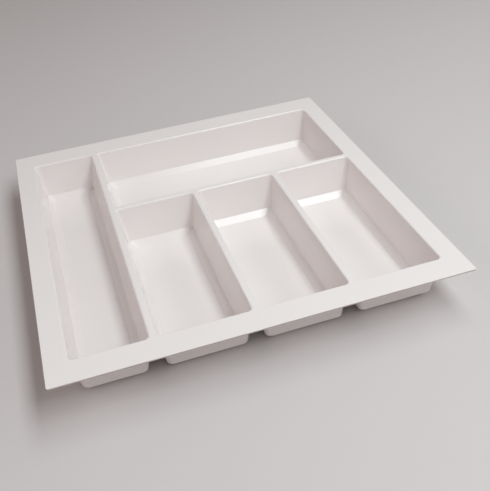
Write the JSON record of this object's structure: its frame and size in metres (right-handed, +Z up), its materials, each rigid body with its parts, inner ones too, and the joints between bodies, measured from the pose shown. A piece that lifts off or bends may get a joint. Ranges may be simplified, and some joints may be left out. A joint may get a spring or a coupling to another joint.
{
  "type": "cutlery tray insert",
  "caption": "Shallow white moulded plastic tray for a kitchen drawer: one long well at the left, a wide well across the back and equal wells in front, under a flat trimmed rim.",
  "frame": {"origin": "on the plane the wells stand on, under the centre of the rim", "axes": "+X to the right with the long well at the left, +Y to the back where the wide well is, +Z up"},
  "size_m": [0.45, 0.49, 0.0545],
  "materials": {
    "white_plastic": "smooth satin-gloss moulded plastic"
  },
  "bodies": {
    "root": {"tray_moulding": "white_plastic"}
  },
  "joints": []
}
